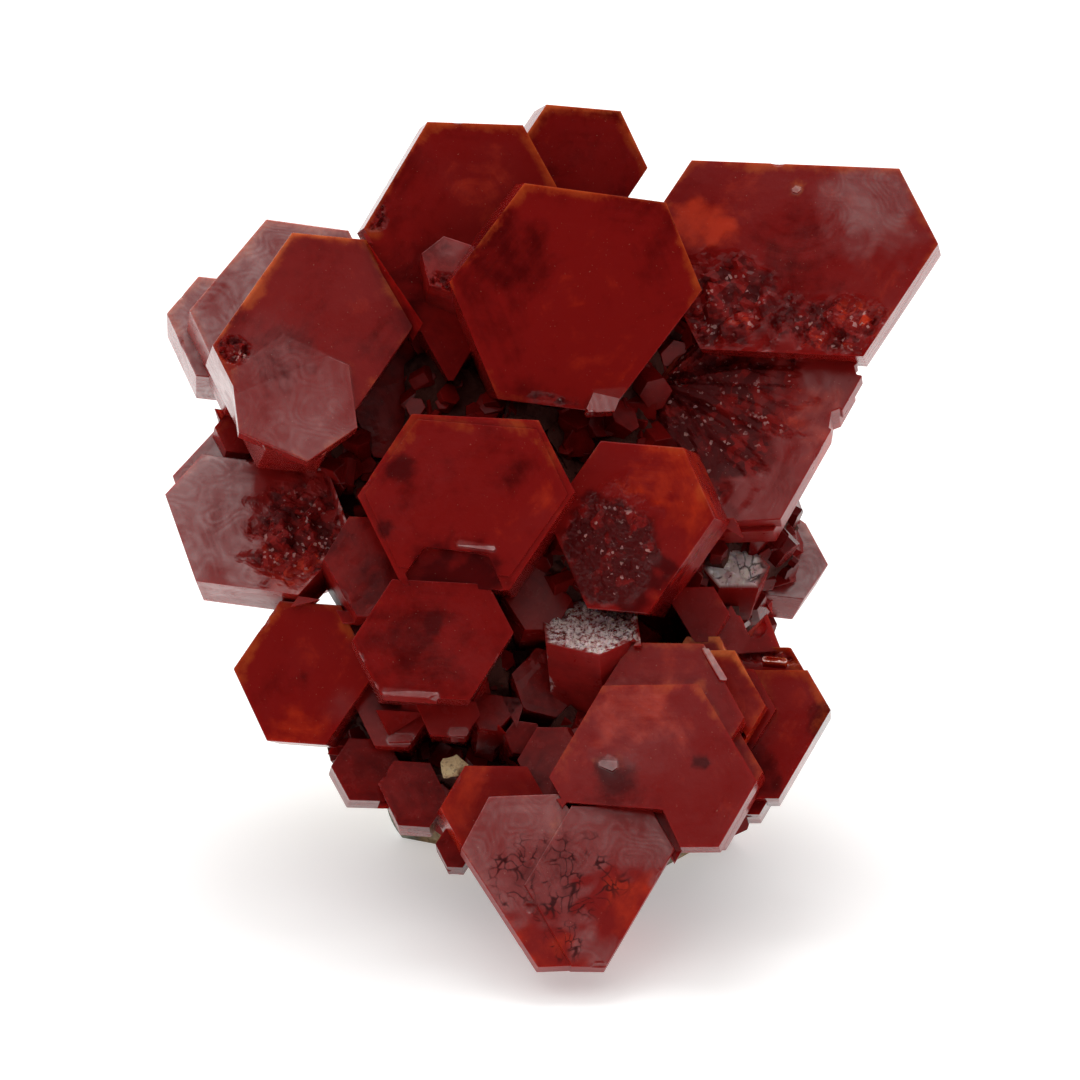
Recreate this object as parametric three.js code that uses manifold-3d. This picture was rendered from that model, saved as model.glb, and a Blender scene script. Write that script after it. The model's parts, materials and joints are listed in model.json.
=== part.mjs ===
// Vanadinite on matrix: a cluster of tabular hexagonal crystals on a lump of rock.
// Millimetres, +Z up. The cluster leans back on the flat-bottomed foot of its rock.

import * as THREE from 'three';
import { mergeVertices } from 'three/addons/utils/BufferGeometryUtils.js';
import Module from 'manifold-3d';

const wasm = await Module();
wasm.setup();

// Driving dimensions.
const leanBack = 24; // degrees that the whole cluster leans back from upright
const gap = 0.3; // clearance between neighbours that touch
const rockDetail = 3; // subdivision of each rock lump
const rockRoughness = 0.09; // height of the rock's corners, as a share of a lump's size
const smallestPiece = 0.6; // offcuts with less volume than this, in cubic mm, are dropped
const beyond = 60; // size of the block that trims the rock level with the ground
const sideCount = 6;
const sideStep = 360 / sideCount; // degrees from one side face to the next
const topSide = 90; // direction of the first side face, in degrees

// Finishes.
const finishes = {
  deepRed: { color: 0x6e120d, roughness: 0.25, metalness: 0 },
  orangeRed: { color: 0xa62a12, roughness: 0.25, metalness: 0 },
  dullRed: { color: 0x5c1412, roughness: 0.5, metalness: 0 },
  rock: { color: 0xa58a63, roughness: 0.9, metalness: 0 },
};

// Each piece is one crystal, or a few that grew through each other.
// at: middle of the front face, as [across, depth, up] in the leaning frame.
// reach: distance from there to the six side faces, clockwise from the top one.
// thick: length of the side faces. turn: to the right, lean: upwards, spin: clockwise, in degrees.
const pieces = [
  { name: 'heart_crystal', finish: 'dullRed', crystals: [
    { at: [0, 1, 4.3], reach: [3.6, 2.7, 3.3, 4.1, 2.3, 3.6], thick: 1.3, turn: 3, lean: 16, spin: -2 },
    { at: [2.6, 1, 4.1], reach: [3.3, 3.6, 2.2, 3.9, 3, 2.7], thick: 1.3, turn: 3, lean: 16, spin: 1 },
    { at: [1.8, 2, 5], reach: [2, 2.8, 2.6, 2.6, 2.6, 2.6], thick: 5, turn: 3, lean: 8, spin: 3 },
  ] },
  { name: 'stepped_front_crystal', finish: 'deepRed', crystals: [
    { at: [5, 1.7, 8.8], reach: [3.9, 3.7, 4.2, 3.4, 4.1, 3.9], thick: 1.4, turn: -6, lean: 14, spin: -1 },
    { at: [5.6, 2.7, 11.6], reach: [2.9, 2.8, 3.2, 4.4, 3.2, 2.9], thick: 3.6, turn: -6, lean: 14, spin: 1 },
    { at: [6.6, 2.9, 8.6], reach: [3, 2.9, 2.8, 3, 3, 3], thick: 2.4, turn: -6, lean: 14, spin: -1 },
  ] },
  { name: 'lower_centre_crystal', finish: 'deepRed', crystals: [
    { at: [-4.7, 2.2, 14.6], reach: [2.6, 3.3, 2.8, 2.6, 3.2, 3], thick: 3.2, turn: 3, lean: 9, spin: 3 },
  ] },
  { name: 'centre_crystal', finish: 'deepRed', crystals: [
    { at: [-3.2, 2.8, 21], reach: [3.5, 4.3, 3.9, 3.6, 4.4, 4.1], thick: 3.6, turn: -4, lean: 7, spin: 3 },
  ] },
  { name: 'glowing_crystal', finish: 'orangeRed', crystals: [
    { at: [4, 3.4, 19.7], reach: [3.6, 3.6, 3, 3.9, 3.3, 3.3], thick: 3.4, turn: -14, lean: 4, spin: 5 },
  ] },
  { name: 'left_lower_crystal', finish: 'orangeRed', crystals: [
    { at: [-10.6, 4.8, 13.1], reach: [3.1, 2.8, 2.7, 3.2, 2.8, 2.7], thick: 3.4, turn: -6, lean: 5, spin: 4 },
  ] },
  { name: 'dull_left_crystal', finish: 'dullRed', crystals: [
    { at: [-7.3, 4, 17.8], reach: [2.3, 2, 2.1, 2.3, 1.9, 2.2], thick: 3, turn: 7, lean: 14, spin: 1 },
  ] },
  { name: 'orange_right_crystal', finish: 'orangeRed', crystals: [
    { at: [8.3, 4.2, 11.9], reach: [2.2, 1.4, 1.7, 2, 2, 2], thick: 1.2, turn: -10, lean: 10, spin: 0 },
    { at: [7.6, 5, 12.6], reach: [2.1, 1.4, 1.6, 2, 2, 2], thick: 2.6, turn: -10, lean: 10, spin: 0 },
  ] },
  { name: 'dark_right_crystal', finish: 'deepRed', crystals: [
    { at: [10.2, 5, 10.5], reach: [2.7, 2.9, 2, 3.1, 2.5, 2.2], thick: 3, turn: -4, lean: 10, spin: 0 },
    { at: [9.8, 6.2, 11], reach: [3.2, 2.9, 2.3, 4.4, 2.6, 2.4], thick: 3.6, turn: -4, lean: 10, spin: 0 },
  ] },
  { name: 'broken_top_crystal', finish: 'dullRed', crystals: [
    { at: [2.3, 4.4, 15.1], reach: [2, 2.1, 2, 1.8, 2.1, 2.1], thick: 4, turn: -8, lean: 55, spin: 20 },
  ] },
  { name: 'plate_behind_heart', finish: 'orangeRed', crystals: [
    { at: [-2, 2.7, 7.1], reach: [1.9, 2.2, 2, 1.9, 2.1, 2.1], thick: 3.4, turn: 6, lean: 10, spin: 1 },
  ] },
  { name: 'left_low_outer_crystal', finish: 'deepRed', crystals: [
    { at: [-7.7, 5.2, 8.7], reach: [1.4, 1.4, 1.5, 1.4, 1.4, 1.5], thick: 3, turn: 5, lean: 10, spin: 2 },
  ] },
  { name: 'left_low_inner_crystal', finish: 'deepRed', crystals: [
    { at: [-5.7, 4.4, 7.7], reach: [1.4, 1.3, 1.5, 1.5, 1.2, 1.5], thick: 3, turn: 0, lean: 12, spin: 4 },
  ] },
  { name: 'left_low_small_crystal', finish: 'deepRed', crystals: [
    { at: [-3.8, 4, 5.3], reach: [0.8, 0.8, 0.8, 0.9, 0.7, 0.8], thick: 2.4, turn: 0, lean: 12, spin: 3 },
  ] },
  { name: 'upper_centre_crystal', finish: 'deepRed', crystals: [
    { at: [1.6, 4.6, 29.9], reach: [4.7, 5.4, 4.4, 5, 5, 4.9], thick: 4, turn: 8, lean: -3, spin: 7 },
  ] },
  { name: 'big_left_crystal', finish: 'deepRed', crystals: [
    { at: [-10.2, 5, 28], reach: [4.9, 4.5, 3.4, 5.3, 4.2, 3.5], thick: 3.4, turn: 10, lean: 13, spin: 5 },
  ] },
  { name: 'upper_left_crystal', finish: 'deepRed', crystals: [
    { at: [-3.5, 7, 32.8], reach: [5.1, 4.9, 3, 6.6, 3.8, 4], thick: 2.4, turn: 10, lean: 2, spin: 1 },
    { at: [-3.4, 8.6, 32.8], reach: [5, 4.4, 3, 6, 3.6, 4.1], thick: 2.6, turn: 10, lean: 2, spin: 1 },
  ] },
  { name: 'wedge_crystal', finish: 'dullRed', crystals: [
    { at: [-4.1, 5.6, 31.4], reach: [1.3, 1.2, 1.2, 1.3, 1.1, 1.2], thick: 2, turn: 8, lean: 24, spin: 20 },
  ] },
  { name: 'left_middle_crystal', finish: 'dullRed', crystals: [
    { at: [-13.6, 5.4, 20.4], reach: [2.7, 2.6, 2.6, 2.7, 2.8, 3.2], thick: 1, turn: -6, lean: 24, spin: 8 },
    { at: [-13, 6.4, 19.9], reach: [2.9, 4, 4.1, 3.3, 3.3, 4], thick: 2.2, turn: -6, lean: 24, spin: 8 },
    { at: [-13.2, 8, 21], reach: [3.2, 3.6, 3, 3, 3, 3.5], thick: 2.6, turn: -6, lean: 24, spin: 8 },
  ] },
  { name: 'upper_right_crystal', finish: 'deepRed', crystals: [
    { at: [11.4, 7, 31.9], reach: [4.2, 6.1, 5.3, 4.5, 5.6, 6.3], thick: 2.6, turn: -8, lean: 8, spin: 3 },
  ] },
  { name: 'right_fan_crystal', finish: 'dullRed', crystals: [
    { at: [9.7, 7.2, 24.6], reach: [3.7, 5.3, 3.4, 4.9, 4.2, 4.6], thick: 1.2, turn: -6, lean: 16, spin: -2 },
    { at: [9.4, 8.1, 24], reach: [3.7, 5.2, 3.4, 4.8, 4.2, 4.6], thick: 1.8, turn: -6, lean: 16, spin: -2 },
    { at: [8.9, 6.8, 21.2], reach: [1.4, 1.6, 1.6, 1.4, 1.5, 1.5], thick: 1.5, turn: -6, lean: 16, spin: -4 },
  ] },
  { name: 'behind_left_crystal', finish: 'dullRed', crystals: [
    { at: [-11.2, 8.2, 29.2], reach: [4.7, 4.1, 3.8, 4.2, 4.3, 3.9], thick: 2.8, turn: 8, lean: 22, spin: 8 },
  ] },
  { name: 'far_left_crystal', finish: 'dullRed', crystals: [
    { at: [-14.9, 9.9, 28.8], reach: [2.5, 2, 2.1, 2.6, 1.8, 2.2], thick: 2.4, turn: 4, lean: 24, spin: 7 },
  ] },
  { name: 'top_crystal', finish: 'deepRed', crystals: [
    { at: [2, 9.4, 36.3], reach: [2.5, 2.6, 2.6, 3, 2.7, 2.9], thick: 3.2, turn: 10, lean: 0, spin: 4 },
  ] },
  { name: 'far_right_crystal', finish: 'dullRed', crystals: [
    { at: [11.3, 12, 18.2], reach: [2, 1.8, 1.9, 2, 1.8, 1.9], thick: 2.6, turn: 10, lean: 22, spin: 7 },
  ] },
  { name: 'silver_facet_crystal', finish: 'dullRed', crystals: [
    { at: [9, 8.6, 17.7], reach: [1.1, 1.4, 1.3, 1.1, 1.4, 1.4], thick: 2.6, turn: 10, lean: 36, spin: 0 },
  ] },
  { name: 'small_right_crystal', finish: 'dullRed', crystals: [
    { at: [7.3, 5.6, 15.8], reach: [1.1, 1, 1.1, 1, 1, 1.1], thick: 3, turn: -5, lean: 10, spin: -1 },
  ] },
  { name: 'small_mauve_crystal', finish: 'dullRed', crystals: [
    { at: [8.6, 6.4, 14.8], reach: [0.9, 0.8, 0.9, 0.9, 0.8, 0.9], thick: 3, turn: 15, lean: 15, spin: 7 },
  ] },
  { name: 'small_dark_crystal', finish: 'deepRed', crystals: [
    { at: [-0.7, 4.4, 10.2], reach: [0.7, 0.8, 0.8, 0.8, 0.8, 0.8], thick: 3, turn: 10, lean: 12, spin: 8 },
  ] },
  { name: 'orange_middle_crystal', finish: 'orangeRed', crystals: [
    { at: [0.6, 3.6, 9.2], reach: [1.5, 1.4, 1.4, 1.6, 1.4, 1.4], thick: 2.4, turn: -4, lean: 14, spin: 0 },
  ] },
  { name: 'upper_middle_crystal', finish: 'dullRed', crystals: [
    { at: [-0.1, 5.4, 16.4], reach: [1.5, 1.3, 1.4, 1.5, 1.3, 1.4], thick: 3, turn: 8, lean: 20, spin: 0 },
  ] },
  { name: 'glint_crystal', finish: 'dullRed', crystals: [
    { at: [-2.2, 4.6, 11.3], reach: [0.9, 0.8, 0.8, 0.9, 0.8, 0.8], thick: 3, turn: 5, lean: 30, spin: 10 },
  ] },
  { name: 'waist_crystal', finish: 'dullRed', crystals: [
    { at: [-4, 4.2, 11.2], reach: [1.1, 1.4, 1.1, 1, 1.2, 1.4], thick: 3, turn: 0, lean: 10, spin: 5 },
  ] },
  { name: 'inner_rough_crystal', finish: 'dullRed', crystals: [
    { at: [0.3, 5.4, 12.6], reach: [1.5, 1.4, 1.4, 1.5, 1.4, 1.4], thick: 3, turn: 12, lean: 20, spin: 15 },
  ] },
  { name: 'inner_left_crystal', finish: 'dullRed', crystals: [
    { at: [-6.2, 8.6, 26], reach: [3.2, 2.6, 3, 3.4, 2.6, 2.8], thick: 3, turn: 14, lean: 6, spin: 8 },
  ] },
  { name: 'inner_gap_crystal', finish: 'dullRed', crystals: [
    { at: [3.6, 8.6, 25.2], reach: [2.8, 2.6, 3, 3.2, 3, 3], thick: 3, turn: -12, lean: 4, spin: 12 },
  ] },
  { name: 'left_small_crystal', finish: 'dullRed', crystals: [
    { at: [-13.7, 8.6, 24], reach: [1, 1.1, 1, 1.1, 1, 1], thick: 2.6, turn: 10, lean: 24, spin: 8 },
  ] },
  { name: 'left_waist_crystal', finish: 'dullRed', crystals: [
    { at: [-6.6, 5, 11.3], reach: [1.6, 1.5, 1.5, 1.6, 1.4, 1.4], thick: 3, turn: -4, lean: 16, spin: 3 },
  ] },
];

// The rock: lumps in the leaning frame, as middle and half sizes.
const rockLumps = [
  { at: [0.5, 13, 20], half: [9, 7, 12.5] },
  { at: [1.3, 14.2, 10], half: [7.8, 7.8, 8] },
  { at: [2.4, 9.4, 9.4], half: [4.8, 4.8, 4.4] },
  { at: [7, 13, 20.5], half: [5, 5, 6.4] },
  { at: [6.4, 13.6, 28], half: [5.6, 4.8, 5] },
  { at: [-7.4, 12.8, 23.4], half: [6, 4.8, 7] },
  { at: [-4.6, 10.6, 12.4], half: [5, 5, 5] },
  { at: [0.6, 14, 31], half: [5, 4.4, 4.6] },
];

// Two waves over the unit sphere give each lump its corners; shift picks the number that starts the wave.
const rockWaves = [
  { along: new THREE.Vector3(11, 0, 5), shift: 0 },
  { along: new THREE.Vector3(-7, 13, 0), shift: 1 },
];

const radians = THREE.MathUtils.degToRad;

// The six corners of a hexagon with every angle 120 degrees, from its six face distances.
function hexagonCorners(reach) {
  const corners = [];
  for (let side = 0; side < sideCount; side += 1) {
    const next = (side + 1) % sideCount;
    const angle = radians(topSide - sideStep * side);
    const nextAngle = radians(topSide - sideStep * next);
    const cross = Math.sin(nextAngle - angle);
    const across = (reach[side] * Math.sin(nextAngle) - reach[next] * Math.sin(angle)) / cross;
    const up = (reach[next] * Math.cos(angle) - reach[side] * Math.cos(nextAngle)) / cross;
    corners.push(new THREE.Vector2(across, up));
  }
  return corners;
}

// One tabular crystal, its front face facing -Y before it is turned. grow makes it larger all round.
function crystalGeometry(crystal, grow) {
  const outline = new THREE.Shape(hexagonCorners(crystal.reach.map((distance) => distance + grow)));
  const depth = crystal.thick + 2 * grow;
  const geometry = new THREE.ExtrudeGeometry(outline, { depth, bevelEnabled: false });
  geometry.translate(0, 0, grow - depth);
  geometry.rotateX(Math.PI / 2);
  geometry.rotateY(radians(crystal.spin));
  geometry.rotateX(radians(-crystal.lean));
  geometry.rotateZ(radians(crystal.turn));
  geometry.translate(...crystal.at);
  return geometry;
}

// An angular lump of rock.
function lumpGeometry(lump) {
  const geometry = new THREE.IcosahedronGeometry(1, rockDetail);
  const position = geometry.getAttribute('position');
  const halfSizes = new THREE.Vector3(...lump.half);
  const point = new THREE.Vector3();
  for (let index = 0; index < position.count; index += 1) {
    point.fromBufferAttribute(position, index);
    const heights = rockWaves.map((wave) => Math.sin(point.dot(wave.along) + lump.at[wave.shift]));
    point.multiplyScalar(1 + rockRoughness * (heights[0] + heights[1]));
    point.multiply(halfSizes);
    position.setXYZ(index, point.x, point.y, point.z);
  }
  geometry.translate(...lump.at);
  return geometry;
}

function toSolid(geometry) {
  const bare = geometry.clone();
  bare.deleteAttribute('normal');
  bare.deleteAttribute('uv');
  const merged = mergeVertices(bare);
  return new wasm.Manifold(new wasm.Mesh({
    numProp: 3,
    vertProperties: new Float32Array(merged.getAttribute('position').array),
    triVerts: new Uint32Array(merged.getIndex().array),
  }));
}

function toGeometry(solid) {
  const { vertProperties, triVerts } = solid.getMesh();
  const geometry = new THREE.BufferGeometry();
  geometry.setAttribute('position', new THREE.BufferAttribute(vertProperties, 3));
  geometry.setIndex(new THREE.BufferAttribute(triVerts, 1));
  geometry.computeVertexNormals();
  return geometry;
}

function join(geometries) {
  return geometries.map(toSolid).reduce((whole, next) => whole.add(next));
}

// The largest body of a solid that a cut has parted.
function largestBody(solid) {
  const bodies = solid.decompose().filter((body) => body.volume() > smallestPiece);
  return bodies.reduce((best, body) => (body.volume() > best.volume() ? body : best));
}

const cluster = new THREE.Group();
cluster.rotation.x = radians(-leanBack);

const materials = Object.fromEntries(
  Object.entries(finishes).map(([name, finish]) => [name, new THREE.MeshStandardMaterial(finish)]),
);

function addPiece(name, solid, finish) {
  const mesh = new THREE.Mesh(toGeometry(solid), materials[finish]);
  mesh.name = name;
  cluster.add(mesh);
}

// Pieces run from front to back: each one ends where it meets those in front of it.
let taken = null;
for (const piece of pieces) {
  const solid = join(piece.crystals.map((crystal) => crystalGeometry(crystal, 0)));
  addPiece(piece.name, taken ? largestBody(solid.subtract(taken)) : solid, piece.finish);
  const room = join(piece.crystals.map((crystal) => crystalGeometry(crystal, gap)));
  taken = taken ? taken.add(room) : room;
}

// The rock, with a socket for each crystal, trimmed level with the lowest crystal.
cluster.updateMatrixWorld(true);
const ground = new THREE.Box3().setFromObject(cluster, true).min.z;
const trim = new THREE.BoxGeometry(beyond, beyond, beyond);
trim.translate(0, 0, ground - beyond / 2);
trim.applyMatrix4(cluster.matrixWorld.clone().invert());
const rock = join(rockLumps.map(lumpGeometry)).subtract(taken).subtract(toSolid(trim));
addPiece('matrix_rock', largestBody(rock), 'rock');

// The origin is on the ground, under the middle of the specimen.
const specimen = new THREE.Group();
specimen.add(cluster);
specimen.updateMatrixWorld(true);
const box = new THREE.Box3().setFromObject(specimen, true);
const middle = box.getCenter(new THREE.Vector3());
cluster.position.set(-middle.x, -middle.y, -box.min.z);

export default specimen;
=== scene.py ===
"""Looks for a vanadinite specimen: glossy red tabular crystals on rock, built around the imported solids."""

import json
import math
import random
from typing import NamedTuple

import bmesh
import bpy
import numpy as np
from bpy.props import FloatProperty, FloatVectorProperty, IntProperty, PointerProperty
from mathutils import Matrix, Vector, kdtree, noise
from mathutils.bvhtree import BVHTree


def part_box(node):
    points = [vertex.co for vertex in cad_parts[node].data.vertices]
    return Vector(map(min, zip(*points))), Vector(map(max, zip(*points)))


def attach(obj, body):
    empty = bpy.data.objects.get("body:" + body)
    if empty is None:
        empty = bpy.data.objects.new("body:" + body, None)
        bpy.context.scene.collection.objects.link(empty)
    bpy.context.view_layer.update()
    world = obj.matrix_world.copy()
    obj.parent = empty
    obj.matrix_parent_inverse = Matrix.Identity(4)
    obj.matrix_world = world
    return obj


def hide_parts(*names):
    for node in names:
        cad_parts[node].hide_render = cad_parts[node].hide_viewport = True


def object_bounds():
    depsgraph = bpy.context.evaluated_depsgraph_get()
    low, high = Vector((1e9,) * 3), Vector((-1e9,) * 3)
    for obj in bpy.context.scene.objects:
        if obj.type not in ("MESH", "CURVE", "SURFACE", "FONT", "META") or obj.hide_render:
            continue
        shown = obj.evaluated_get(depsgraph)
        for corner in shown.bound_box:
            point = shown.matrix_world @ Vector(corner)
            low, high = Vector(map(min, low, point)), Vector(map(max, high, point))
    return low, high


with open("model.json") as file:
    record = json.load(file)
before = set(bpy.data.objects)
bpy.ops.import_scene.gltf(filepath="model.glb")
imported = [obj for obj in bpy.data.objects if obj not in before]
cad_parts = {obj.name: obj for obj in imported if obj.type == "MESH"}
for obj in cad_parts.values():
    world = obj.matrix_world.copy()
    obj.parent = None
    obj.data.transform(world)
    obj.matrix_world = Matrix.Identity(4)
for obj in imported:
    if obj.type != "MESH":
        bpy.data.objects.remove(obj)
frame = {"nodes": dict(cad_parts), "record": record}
CAD_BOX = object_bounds()

bl_info = {
    "name": "Vanadinite Specimen",
    "version": (1, 0, 0),
    "blender": (4, 5, 0),
    "location": "View3D > Sidebar > Specimen",
    "description": "Builds the crystals, the rock and the stage of a vanadinite specimen",
    "category": "Object",
}

MM = 0.001
BODY = "root"
ROCK = "matrix_rock"
NODE_ORDER = [part["node"] for part in frame["record"]["subparts"]]
LEAN_BACK = math.radians(24)  # how far the whole cluster leans back
NOISE_SEED = 5
noise.seed_set(NOISE_SEED)  # without it, vector noise is different on each run

# How crystals that grew together are closed up.
CAD_GAP = 0.3 * MM
GAP_TOLERANCE = 0.02 * MM
OVERLAP = 0.25 * MM
LONGEST_STEP = 1.6 * MM
FLAT_SPREAD = 0.05  # normals that spread less than this count as parallel

# What counts as flat, parallel, sharp, in front or at the side.
MERGE_DISTANCE = 0.0005 * MM
FLAT_ANGLE = math.radians(0.4)
PARALLEL = 0.999
SHARP_ANGLE = math.radians(15)
FRONT_FACING = 0.85
SIDE_FACING = 0.3

UP = Vector((0, 0, 1))
SIDES = 6
LAYER_ROOT = 0.6 * MM  # how deep a thin growth layer is rooted in its crystal
EDGE_SPACING = 0.12 * MM
EDGE_KEPT = 0.3 * MM  # the width beside an edge where rough patches fade out
CHIP_RADIUS = (0.25, 0.7)  # in millimetres
CHIP_OUTSIDE = (0.72, 0.92)  # how far outside the edge a chip's centre lies, as a share of its radius
CHIP_ROUGHNESS = 0.4
WORN_GRAIN = 0.7 * MM
WORN_ROUGHNESS = 0.2

# The mesh is finest at edges, chips and layers, and grows coarser away from them.
EDGE_GROWTH = 0.35
MESH_GROWTH = 0.4
CHIP_FINENESS = 0.25
LAYER_FADE = 0.08  # in millimetres, the width over which a layer's sheen fades at its edge


# ---- settings


class CrystalSettings(bpy.types.PropertyGroup):
    edge_bevel: FloatProperty(
        name="Edge Bevel", description="Width of the worn edge", default=0.05 * MM, unit="LENGTH"
    )
    facet_step: FloatProperty(
        name="Facet Step", description="Longest mesh edge on smooth faces", default=0.38 * MM, unit="LENGTH"
    )
    broken_share: FloatProperty(
        name="Broken Share", default=0.25,
        description="Longest mesh edge on broken faces, as a share of their grain",
    )
    deep: FloatVectorProperty(
        name="Deep Red", description="Colour in the dark heart of a crystal", subtype="COLOR",
        default=(0.085, 0.0022, 0.0025),
    )
    body: FloatVectorProperty(
        name="Body Red", description="Colour of most of a crystal", subtype="COLOR",
        default=(0.235, 0.0068, 0.0058),
    )
    glow: FloatVectorProperty(
        name="Glow", description="Colour where light comes through", subtype="COLOR",
        default=(0.56, 0.034, 0.008),
    )
    # Painted glow of light shining through near the thin edges.
    edge_glow: FloatVectorProperty(
        name="Rim", description="Colour of the thin edges", subtype="COLOR",
        default=(0.42, 0.062, 0.012),
    )
    # Painted glow at the very edge, where the crystal is thinnest.
    thin_edge_glow: FloatVectorProperty(
        name="Thin Edge", description="Colour of the very edge", subtype="COLOR", default=(0.75, 0.2, 0.05)
    )


class RockSettings(bpy.types.PropertyGroup):
    step: FloatProperty(name="Step", description="Longest mesh edge", default=0.42 * MM, unit="LENGTH")
    relief: FloatProperty(
        name="Relief", description="Height of the rock's bumps", default=0.45 * MM, unit="LENGTH"
    )
    tan: FloatVectorProperty(
        name="Tan", description="Main colour", subtype="COLOR", default=(0.42, 0.29, 0.15)
    )
    grey: FloatVectorProperty(
        name="Grey", description="Second colour", subtype="COLOR", default=(0.27, 0.29, 0.23)
    )
    # Colour of the rock close to the crystals, a dark red.
    near_crystal_dark: FloatVectorProperty(
        name="Rust", description="Stain near the crystals", subtype="COLOR", default=(0.06, 0.006, 0.005)
    )


class DruseSettings(bpy.types.PropertyGroup):
    count: IntProperty(name="Count", description="Small crystals on the rock", default=2200)
    smallest: FloatProperty(name="Smallest", description="Smallest radius", default=0.18 * MM, unit="LENGTH")
    largest: FloatProperty(name="Largest", description="Largest radius", default=0.8 * MM, unit="LENGTH")
    spread: FloatProperty(
        name="Spread", description="Furthest from a large crystal", default=4.5 * MM, unit="LENGTH"
    )


class StageSettings(bpy.types.PropertyGroup):
    floor_colour: FloatVectorProperty(
        name="Floor", description="Colour of the floor", subtype="COLOR", default=(0.9, 0.9, 0.895)
    )
    floor_glow: FloatProperty(name="Floor Glow", description="Light that the floor gives off", default=0.34)
    distance: FloatProperty(name="Distance", description="Camera distance", default=200 * MM, unit="LENGTH")
    lens: FloatProperty(name="Lens", description="Focal length in millimetres", default=148.0)
    daylight: FloatProperty(name="Daylight", description="Brightness of the surroundings", default=1.0)
    back_light: FloatProperty(
        name="Back Light", description="Power of the light behind, in watts", default=0.22
    )


# ---- shader maths


def plug(tree, socket, value):
    """Links a socket to a wire or an output, or gives it a colour or a number."""
    if isinstance(value, Wire):
        value = value.source
    if isinstance(value, bpy.types.NodeSocket):
        tree.links.new(value, socket)
    elif socket.type == "RGBA":
        socket.default_value = (*value[:3], 1.0)
    else:
        socket.default_value = value


def add_node(tree, kind, settings=None, values=(), **inputs):
    """Adds a node of any type: its settings first, then its sockets in order, then those given by name."""
    made = tree.nodes.new(kind)
    for name, value in (settings or {}).items():
        setattr(made, name, value)
    for socket, value in zip(made.inputs, values):
        plug(tree, socket, value)
    for name, value in inputs.items():
        plug(tree, made.inputs[name.replace("_", " ")], value)
    return made


class Wire:
    """An output socket or a number, with arithmetic that adds Math nodes."""

    def __init__(self, tree, source):
        self.tree = tree
        self.source = source

    def math(self, operation, *others, clamp=False):
        settings = {"operation": operation, "use_clamp": clamp}
        made = add_node(self.tree, "ShaderNodeMath", settings, (self, *others))
        return Wire(self.tree, made.outputs[0])

    def __add__(self, other):
        return self.math("ADD", other)

    __radd__ = __add__

    def __sub__(self, other):
        return self.math("SUBTRACT", other)

    def __rsub__(self, other):
        return Wire(self.tree, other).math("SUBTRACT", self)

    def __mul__(self, other):
        return self.math("MULTIPLY", other)

    __rmul__ = __mul__

    def clamped(self):
        return self.math("ADD", 0.0, clamp=True)

    def ramp(self, low, high):
        """0 below low, 1 above high, and smooth between them."""
        smoothed = {"interpolation_type": "SMOOTHSTEP"}
        made = add_node(self.tree, "ShaderNodeMapRange", smoothed, (self, low, high))
        return Wire(self.tree, made.outputs[0])


class Finish:
    """A material under construction."""

    def __init__(self, name):
        self.material = bpy.data.materials.new(name)
        self.material.use_nodes = True
        self.tree = self.material.node_tree
        self.shader = next(node for node in self.tree.nodes if node.type == "BSDF_PRINCIPLED")
        self.place = self.scaled(self.add("ShaderNodeTexCoord", "Object"), 1 / MM)

    def add(self, kind, output, settings=None, values=(), **inputs):
        """Adds a node of any type and gives one of its outputs."""
        made = add_node(self.tree, kind, settings, values, **inputs)
        return Wire(self.tree, made.outputs[output])

    def scaled(self, vector, scale):
        return self.add("ShaderNodeVectorMath", "Vector", {"operation": "SCALE"}, (vector,), Scale=scale)

    def attribute(self, name):
        return self.add("ShaderNodeAttribute", "Fac", {"attribute_name": name})

    def noise(self, scale, detail=4.0, roughness=0.55, distortion=0.0):
        return self.add(
            "ShaderNodeTexNoise", 0, Vector=self.place, Scale=scale, Detail=detail,
            Roughness=roughness, Distortion=distortion,
        )

    def cells(self, scale):
        """A random value for each of many small angular cells."""
        colour = self.add("ShaderNodeTexVoronoi", "Color", Vector=self.place, Scale=scale)
        red = (1.0, 0.0, 0.0)
        return self.add("ShaderNodeVectorMath", "Value", {"operation": "DOT_PRODUCT"}, (colour, red))

    def zones(self, inset):
        """Bands that follow a crystal's edges inwards, as it grew."""
        return self.add(
            "ShaderNodeTexNoise", 0, {"noise_dimensions": "4D"}, Vector=self.scaled(self.place, 0.12),
            W=inset * 2.6, Scale=1.0, Detail=4.0, Roughness=0.65,
        )

    def mix(self, factor, first, second):
        """Blends two colours. A Mix node's colour sockets can only be told apart by their place."""
        made = add_node(self.tree, "ShaderNodeMix", {"data_type": "RGBA", "clamp_factor": True}, (factor,))
        plug(self.tree, made.inputs[6], first)
        plug(self.tree, made.inputs[7], second)
        return Wire(self.tree, made.outputs[2])

    def bump(self, height, distance, strength=1.0):
        return self.add("ShaderNodeBump", 0, Height=height, Distance=distance, Strength=strength)

    def set(self, **sockets):
        for name, value in sockets.items():
            plug(self.tree, self.shader.inputs[name.replace("_", " ")], value)


# ---- crystal geometry


def flat_faced(node):
    """The node's solid with its triangles joined into whole flat faces."""
    made = bmesh.new()
    made.from_mesh(frame["nodes"][node].data)
    bmesh.ops.remove_doubles(made, verts=made.verts, dist=MERGE_DISTANCE)
    bmesh.ops.dissolve_limit(made, angle_limit=FLAT_ANGLE, verts=made.verts, edges=made.edges)
    made.normal_update()
    return made


def neighbour_tree(node):
    """The solids of the crystals in front of this one, which it stops short of."""
    earlier = NODE_ORDER[: NODE_ORDER.index(node)]
    points = []
    triangles = []
    for name in earlier:
        mesh = frame["nodes"][name].data
        start = len(points)
        points.extend(vertex.co.copy() for vertex in mesh.vertices)
        mesh.calc_loop_triangles()
        triangles.extend([start + corner for corner in triangle.vertices] for triangle in mesh.loop_triangles)
    return BVHTree.FromPolygons(points, triangles) if triangles else None


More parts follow.
